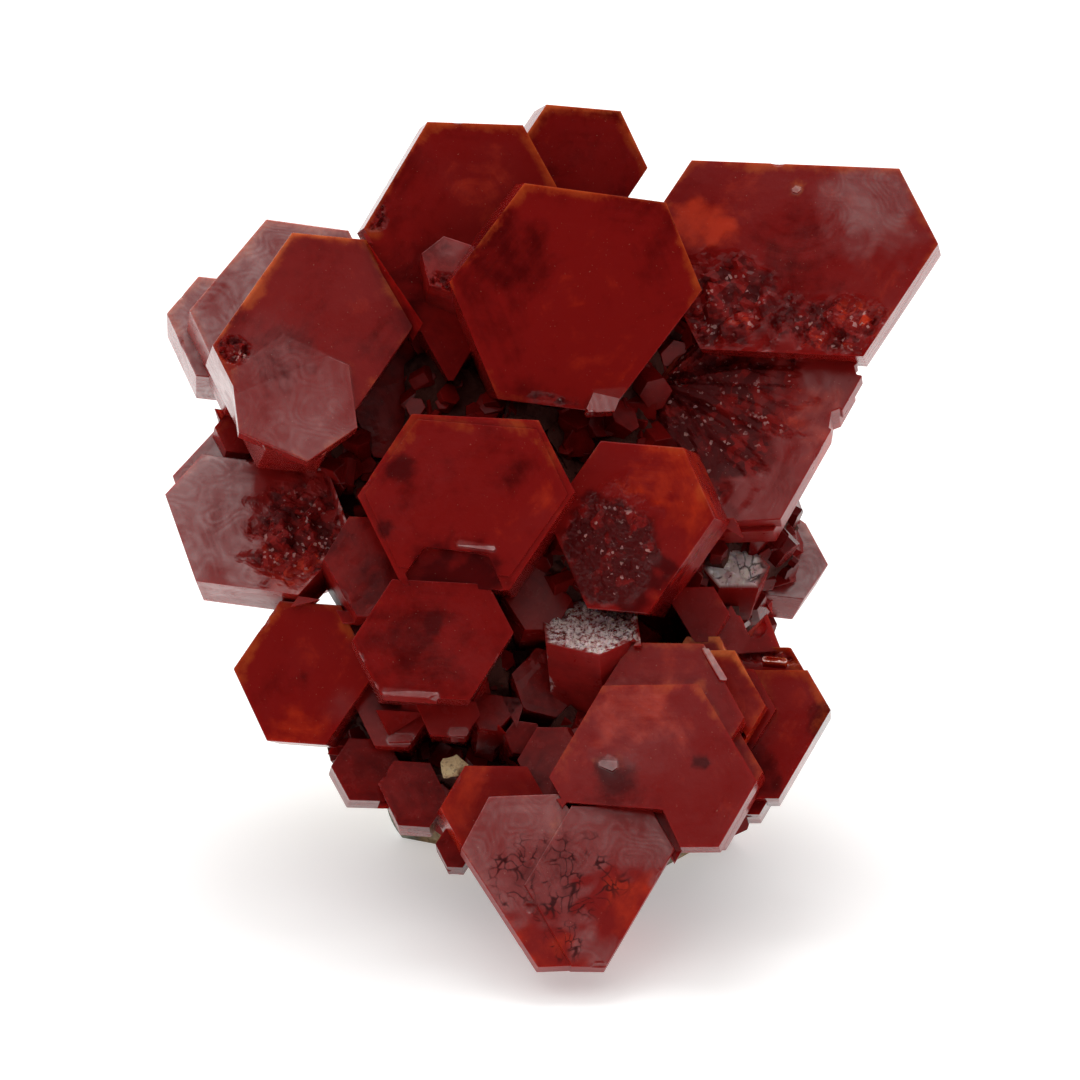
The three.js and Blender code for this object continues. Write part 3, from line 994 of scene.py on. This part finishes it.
RIGHT = {
    "orange_right_crystal": {"look": "glowing", "features": [
        Layer(0.45, 0.6, (1.2, 1.1, 1.2, 1.4, 1.4, 1.2), 0.2),
        Layer(0.35, 0.8, (0.6, 0.7, 0.8, 0.8, 0.8, 0.6), 0.4),
    ]},
    "dark_right_crystal": {"look": "deep", "chips": 10, "edge_glow": 0.7, "features": [
        CloudAndLight(0.68, 0.6, 2.0, 0.25), Broken(0.55, 0.95, 2.0, 0.5, 0.15, 0.15, 0.4), CloudAndLight(0.3, 0.2, 2.4, -0.5),
        CloudAndLight(0.98, 0.55, 1.4, -0.7), Layer(0.55, 0.9, (0.12, 0.5, 0.5, 0.12, 0.5, 0.5), 0.03, 4, 0, 16, 0.9),
    ]},
    "far_right_crystal": {"look": "pale", "edge_glow": 0.6, "chips": 3, "features": [
        CloudAndLight(0.5, 0.5, 5.0, 0.0, 0.3), CloudAndLight(0.55, 0.5, 1.2, 0.0, -0.5),
    ]},
    "silver_facet_crystal": {"look": "mirror", "edge_glow": 0.1, "features": [
        Broken(0.5, 0.5, 2.4, 2.4, 0.05, 0.12, 0.9), Cracks(0.5, 0.5, 2.4, 2.4, 0.0, 0.0, 0.75, 0.45),
    ]},
}
INNER = {
    "glint_crystal": {"look": "inner", "edge_glow": 0.2, "chips": 0, "features": [
        Layer(0.5, 0.9, (0.2, 0.25, 0.2, 0.2, 0.25, 0.2), 0.06, 20, 0, 0, 1.0),
    ]},
    "left_waist_crystal": {"look": "inner", "edge_glow": 0.3, "chips": 0, "features": [
        Layer(0.7, 0.12, (0.2, 0.55, 0.5, 0.2, 0.55, 0.5), 0.08, -4, 0, 16, 1.0),
    ]},
    "waist_crystal": {"look": "inner", "edge_glow": 0.3, "chips": 0, "features": [
        Layer(0.75, 0.2, (0.2, 0.4, 0.4, 0.2, 0.4, 0.4), 0.08, 0, 0, 16, 1.0),
    ]},
    "inner_rough_crystal": {"look": "inner", "worn": 0.05, "edge_glow": 0.1},
    "inner_gap_crystal": {"look": "inner", "worn": 0.05, "edge_glow": 0.1},
    "inner_left_crystal": {"look": "inner", "worn": 0.02, "edge_glow": 0.2},
}
PLAIN = {"look": "inner", "edge_glow": 0.4}
OUTER = {ROCK, *FRONT, *UPPER, *LEFT, *RIGHT}  # what isn't between the large crystals


def build_group(group):
    for node, traits in group.items():
        build_crystal(node, **traits)


# ---- rock and druse


ROCK_LUMPS = 2.2 * MM
ROCK_GRIT = 0.35 * MM
LUMP_SHAPE = (0.9, 2.1, 5)  # roughness, lacunarity and octaves of the rock's bumps
LUMP_SHARE = 0.6
GRIT_HEIGHT = 0.04 * MM
FOOT_KEPT = 0.05 * MM  # the flat foot, with the rock this close above it, stays as it is
SEAT_SWELL = 0.35 * MM  # how far the rock swells to close the gap under a crystal
SEAT_FADE = (0.3 * MM, 0.8 * MM)
FRAGMENT_RADIUS = 0.65 * MM
FRAGMENT_CORNERS = 16
FRAGMENT_STEP = 0.07 * MM
FRAGMENT_SHARE = (0.17, 1.0)  # its place on the plate behind the heart-shaped pair
FRAGMENT_LUMPS = 0.5 * MM
FRAGMENT_RELIEF = 0.15
FRAGMENT_CRYSTAL_DISTANCE = 6.0  # it is coloured as rock this many millimetres from the crystals is
PALE_SAND = (0.72, 0.53, 0.3)
PIT = (0.12, 0.08, 0.05)
HOLLOW_SHADE = (0.16, 0.1, 0.06)
CRUST = (0.55, 0.46, 0.32)


def build_rock():
    settings = bpy.context.scene.specimen_rock
    made = flat_faced(ROCK)
    low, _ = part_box(ROCK)
    refine(made, lambda point: settings.step)
    made.normal_update()
    tree = neighbour_tree(ROCK)
    crystal_distances = []
    dips = []
    for vertex in made.verts:
        place = vertex.co.copy()
        near = tree.find_nearest(place)[3]
        crystal_distances.append(near / MM)
        lumps = noise.fractal(place / ROCK_LUMPS, *LUMP_SHAPE)
        dips.append(-lumps)
        if place.z < low[2] + FOOT_KEPT:
            continue
        grit = noise.noise(place / ROCK_GRIT)
        swell = SEAT_SWELL * (1 - smooth(*SEAT_FADE, near))
        height = settings.relief * LUMP_SHARE * lumps + GRIT_HEIGHT * grit + swell
        vertex.co += vertex.normal * height
        vertex.co.z = max(vertex.co.z, low[2])
    values = {"crystal_distance": crystal_distances, "dip": dips}
    finish_piece(ROCK + "_look", made, rock_finish("rock", 1.0), values, ROCK)


def build_rock_fragment():
    """A crumb of the rock, caught beside the crystal plate at the foot."""
    settings = bpy.context.scene.specimen_rock
    face = FaceFrame(flat_faced("plate_behind_heart"))
    draw = random.Random(11)
    made = bmesh.new()
    middle = face.at(*FRAGMENT_SHARE, above=-FRAGMENT_RADIUS)
    for _ in range(FRAGMENT_CORNERS):
        outward = Vector([draw.gauss(0, 1) for _ in range(3)]).normalized()
        made.verts.new(middle + outward * FRAGMENT_RADIUS)
    bmesh.ops.convex_hull(made, input=made.verts)
    refine(made, lambda point: FRAGMENT_STEP)
    made.normal_update()
    for vertex in made.verts:
        lumps = noise.fractal(vertex.co / FRAGMENT_LUMPS, *LUMP_SHAPE)
        vertex.co += vertex.normal * settings.relief * FRAGMENT_RELIEF * lumps
    count = len(made.verts)
    values = {"crystal_distance": [FRAGMENT_CRYSTAL_DISTANCE] * count, "dip": [0.0] * count}
    finish_piece("rock_fragment", made, rock_finish("pale_rock", 0.0, 0.55), values)


def rock_finish(name, grey_share, sand_share=0.0):
    """Grainy rock, tan or with grey patches or pale sand, darker red near the crystals, with painted shade in
    its hollows.
    """
    settings = bpy.context.scene.specimen_rock
    made = Finish(name)
    crystal_distance = made.attribute("crystal_distance")
    dip = made.attribute("dip")
    patches = made.noise(0.35, detail=6.0, roughness=0.65)
    grains = made.noise(5.0, detail=4.0, roughness=0.7)
    colour = made.mix(patches.ramp(0.42, 0.6) * grey_share, settings.tan, settings.grey)
    colour = made.mix(grains.ramp(0.3, 0.5) * sand_share, colour, PALE_SAND)
    colour = made.mix(grains.ramp(0.52, 0.66) * 0.65, colour, PIT)
    # Painted shade in the rock's hollows, where its bumps dip.
    colour = made.mix(dip.ramp(0.1, 1.0) * 0.7, colour, HOLLOW_SHADE)
    colour = made.mix(made.noise(2.4, detail=3.0).ramp(0.6, 0.7) * 0.5, colour, CRUST)
    # Darker red on the rock close to the crystals, fading out further away.
    near_crystal_dark = 1 - crystal_distance.ramp(2.2, 4.8 + (patches - 0.5) * 4.0)
    colour = made.mix(near_crystal_dark * 0.96, colour, settings.near_crystal_dark)
    height = made.noise(7.0, detail=5.0, roughness=0.7) * 0.5
    height = height + made.noise(2.2, detail=6.0, roughness=0.7) * 1.2
    made.set(
        Base_Color=colour,
        Roughness=grains * 0.3 + 0.62,
        Normal=made.bump(height, 0.14 * MM, 0.9),
        Specular_IOR_Level=0.25,
    )
    return made.material


DRUSE_FOOT = 1.2 * MM  # no small crystals this close to the resting face
DRUSE_SEAT = 0.35 * MM
DRUSE_BEVEL = 0.02 * MM
DRUSE_TILT = 0.8
DRUSE_SMALLNESS = 2.2  # the higher, the fewer large ones
DRUSE_CLOSENESS = 0.7
BACKWARD = 0.35  # rock that faces further back than this carries half as wide a fringe of them


def build_druse():
    """Small crystals on the rock, close to the large ones."""
    settings = bpy.context.scene.specimen_druse
    draw = random.Random(7)
    rock = frame["nodes"][ROCK].data
    rock.calc_loop_triangles()
    tree = neighbour_tree(ROCK)
    low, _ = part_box(ROCK)
    triangles = list(rock.loop_triangles)
    areas = [triangle.area for triangle in triangles]
    made = bmesh.new()
    placed = 0
    while placed < settings.count:
        triangle = draw.choices(triangles, areas)[0]
        corners = [rock.vertices[index].co for index in triangle.vertices]
        a = draw.random()
        b = draw.random()
        if a + b > 1:
            a = 1 - a
            b = 1 - b
        spot = corners[0] + (corners[1] - corners[0]) * a + (corners[2] - corners[0]) * b
        range_of_sizes = settings.largest - settings.smallest
        radius = settings.smallest + range_of_sizes * draw.random() ** DRUSE_SMALLNESS
        near = tree.find_nearest(spot)[3]
        spread = settings.spread if triangle.normal.y < BACKWARD else settings.spread * 0.5
        reach = spread * draw.random() ** DRUSE_CLOSENESS
        if spot.z < low[2] + DRUSE_FOOT or near > reach + DRUSE_SEAT:
            continue
        placed += 1
        normal = triangle.normal
        tilt = Vector([draw.uniform(-DRUSE_TILT, DRUSE_TILT) for _ in range(3)])
        axis = (normal + tilt).normalized()
        right = axis.orthogonal().normalized()
        right.rotate(Matrix.Rotation(draw.uniform(0, math.pi), 3, axis))
        sides = [radius * draw.uniform(0.75, 1.15) for _ in range(SIDES)]
        hexagonal_prism(made, spot, axis, right, sides, radius * draw.uniform(0.6, 1.4), radius * 0.9)
    bevel_edges(made, DRUSE_BEVEL, segments=1)
    bmesh.ops.triangulate(made, faces=made.faces)
    made.normal_update()
    values = {name: [0.0] * len(made.verts) for name in ATTRIBUTES}
    finish_piece("small_crystals", made, crystal_finish("tiny"), values)


# ---- stage


BACK_LIGHT_PLACE = (0.0, 0.12, 0.3)
BACK_LIGHT_SIZE = (0.14, 0.1)
AIM_OFFSET = Vector((-0.5, -1.83, -0.41)) * MM  # the camera looks a little in front of the middle
SENSOR_WIDTH = 36.0
CLIP_START = 0.01
FLOOR_REACH = 3.0
PAPER_SHADE = 0.985
SKY = (1.0, 0.99, 0.98)
WHITE = (1.0, 1.0, 1.0)
SHADOW_SIDE = 0.03


def build_surroundings(daylight):
    """Bright surroundings above and behind, dark on the side that the crystals face."""
    world = bpy.data.worlds.new("studio")
    bpy.context.scene.world = world
    world.use_nodes = True
    tree = world.node_tree
    background = next(node for node in tree.nodes if node.type == "BACKGROUND")
    direction = add_node(tree, "ShaderNodeTexCoord").outputs["Generated"]
    split = add_node(tree, "ShaderNodeSeparateXYZ", values=(direction,))
    x, y, z = (Wire(tree, output) for output in split.outputs)
    side = x.math("ABSOLUTE")
    patches = add_node(tree, "ShaderNodeTexNoise", Vector=direction, Scale=2.2)
    patchy = Wire(tree, patches.outputs[0]).ramp(0.38, 0.6) * 0.9 + 0.5
    level = (y * 0.6 + z * 0.9 + side * 0.3).ramp(0.1, 0.58) * patchy
    plug(tree, background.inputs["Strength"], level * daylight + SHADOW_SIDE)
    plug(tree, background.inputs["Color"], SKY)


def build_floor(settings, base):
    made = bmesh.new()
    bmesh.ops.create_grid(made, x_segments=2, y_segments=2, size=FLOOR_REACH)
    for vertex in made.verts:
        vertex.co.z = base
    mesh = bpy.data.meshes.new("floor")
    made.to_mesh(mesh)
    made.free()
    floor = bpy.data.objects.new("floor", mesh)
    bpy.context.scene.collection.objects.link(floor)
    finish = Finish("floor")
    shade = [channel * PAPER_SHADE for channel in settings.floor_colour]
    tone = finish.mix(finish.noise(0.02, detail=2.0), settings.floor_colour, shade)
    finish.set(
        Base_Color=tone, Roughness=0.6, Emission_Color=WHITE, Emission_Strength=settings.floor_glow
    )
    mesh.materials.append(finish.material)


def add_light(name, place, aim, size, power):
    data = bpy.data.lights.new(name, "AREA")
    data.shape = "RECTANGLE"
    data.size, data.size_y = size
    data.energy = power
    light = bpy.data.objects.new(name, data)
    light.location = place
    light.rotation_euler = (Vector(aim) - Vector(place)).to_track_quat("-Z", "Y").to_euler()
    bpy.context.scene.collection.objects.link(light)


def add_camera(settings, aim):
    data = bpy.data.cameras.new("camera")
    data.lens = settings.lens
    data.sensor_width = SENSOR_WIDTH
    data.clip_start = CLIP_START
    camera = bpy.data.objects.new("camera", data)
    back = Vector((0, -math.cos(LEAN_BACK), math.sin(LEAN_BACK)))
    camera.location = aim + back * settings.distance
    camera.rotation_euler = (-back).to_track_quat("-Z", "Y").to_euler()
    bpy.context.scene.collection.objects.link(camera)
    bpy.context.scene.camera = camera


def build_stage():
    settings = bpy.context.scene.specimen_stage
    low, high = (Vector(corner) for corner in CAD_BOX)
    middle = (low + high) / 2
    build_surroundings(settings.daylight)
    build_floor(settings, low.z)
    add_light("back_light", BACK_LIGHT_PLACE, middle, BACK_LIGHT_SIZE, settings.back_light)
    add_camera(settings, middle + AIM_OFFSET)
    bpy.context.scene.view_settings.view_transform = "Standard"


# ---- operators


class SPECIMEN_OT_front_crystals(bpy.types.Operator):
    """Build the crystals at the front"""

    bl_idname = "specimen.front_crystals"
    bl_label = "Front Crystals"

    def execute(self, context):
        build_group(FRONT)
        return {"FINISHED"}


class SPECIMEN_OT_upper_crystals(bpy.types.Operator):
    """Build the large crystals at the top"""

    bl_idname = "specimen.upper_crystals"
    bl_label = "Upper Crystals"

    def execute(self, context):
        build_group(UPPER)
        return {"FINISHED"}


class SPECIMEN_OT_left_crystals(bpy.types.Operator):
    """Build the crystals at the left"""

    bl_idname = "specimen.left_crystals"
    bl_label = "Left Crystals"

    def execute(self, context):
        build_group(LEFT)
        return {"FINISHED"}


class SPECIMEN_OT_right_crystals(bpy.types.Operator):
    """Build the crystals at the right"""

    bl_idname = "specimen.right_crystals"
    bl_label = "Right Crystals"

    def execute(self, context):
        build_group(RIGHT)
        return {"FINISHED"}


class SPECIMEN_OT_inner_crystals(bpy.types.Operator):
    """Build the smaller crystals between the large ones"""

    bl_idname = "specimen.inner_crystals"
    bl_label = "Inner Crystals"

    def execute(self, context):
        build_group({node: INNER.get(node, PLAIN) for node in NODE_ORDER if node not in OUTER})
        return {"FINISHED"}


class SPECIMEN_OT_matrix_rock(bpy.types.Operator):
    """Build the rock"""

    bl_idname = "specimen.matrix_rock"
    bl_label = "Matrix Rock"

    def execute(self, context):
        build_rock()
        build_rock_fragment()
        return {"FINISHED"}


class SPECIMEN_OT_small_crystals(bpy.types.Operator):
    """Scatter the small crystals that line the hollows"""

    bl_idname = "specimen.small_crystals"
    bl_label = "Small Crystals"

    def execute(self, context):
        build_druse()
        return {"FINISHED"}


class SPECIMEN_OT_stage(bpy.types.Operator):
    """Set up the floor, the lights and the camera"""

    bl_idname = "specimen.stage"
    bl_label = "Stage"

    def execute(self, context):
        build_stage()
        return {"FINISHED"}


OPERATORS = (
    SPECIMEN_OT_front_crystals,
    SPECIMEN_OT_upper_crystals,
    SPECIMEN_OT_left_crystals,
    SPECIMEN_OT_right_crystals,
    SPECIMEN_OT_inner_crystals,
    SPECIMEN_OT_matrix_rock,
    SPECIMEN_OT_small_crystals,
    SPECIMEN_OT_stage,
)
SETTINGS = {
    "specimen_crystals": CrystalSettings,
    "specimen_rock": RockSettings,
    "specimen_druse": DruseSettings,
    "specimen_stage": StageSettings,
}


class SPECIMEN_PT_panel(bpy.types.Panel):
    """The specimen's pieces and settings"""

    bl_idname = "SPECIMEN_PT_panel"
    bl_label = "Vanadinite Specimen"
    bl_space_type = "VIEW_3D"
    bl_region_type = "UI"
    bl_category = "Specimen"

    def draw(self, context):
        layout = self.layout
        for operator in OPERATORS:
            layout.operator(operator.bl_idname)
        for name in SETTINGS:
            box = layout.box()
            group = getattr(context.scene, name)
            for key in group.bl_rna.properties.keys():
                if key not in {"name", "rna_type"}:
                    box.prop(group, key)


def register():
    for group in SETTINGS.values():
        bpy.utils.register_class(group)
    for name, group in SETTINGS.items():
        setattr(bpy.types.Scene, name, PointerProperty(type=group))
    for operator in OPERATORS:
        bpy.utils.register_class(operator)
    bpy.utils.register_class(SPECIMEN_PT_panel)


def unregister():
    bpy.utils.unregister_class(SPECIMEN_PT_panel)
    for operator in reversed(OPERATORS):
        bpy.utils.unregister_class(operator)
    for name in SETTINGS:
        delattr(bpy.types.Scene, name)
    for group in reversed(SETTINGS.values()):
        bpy.utils.unregister_class(group)


def main():
    register()
    for operator in OPERATORS:
        category, name = operator.bl_idname.split(".")
        getattr(getattr(bpy.ops, category), name)()


if __name__ == "__main__":
    main()
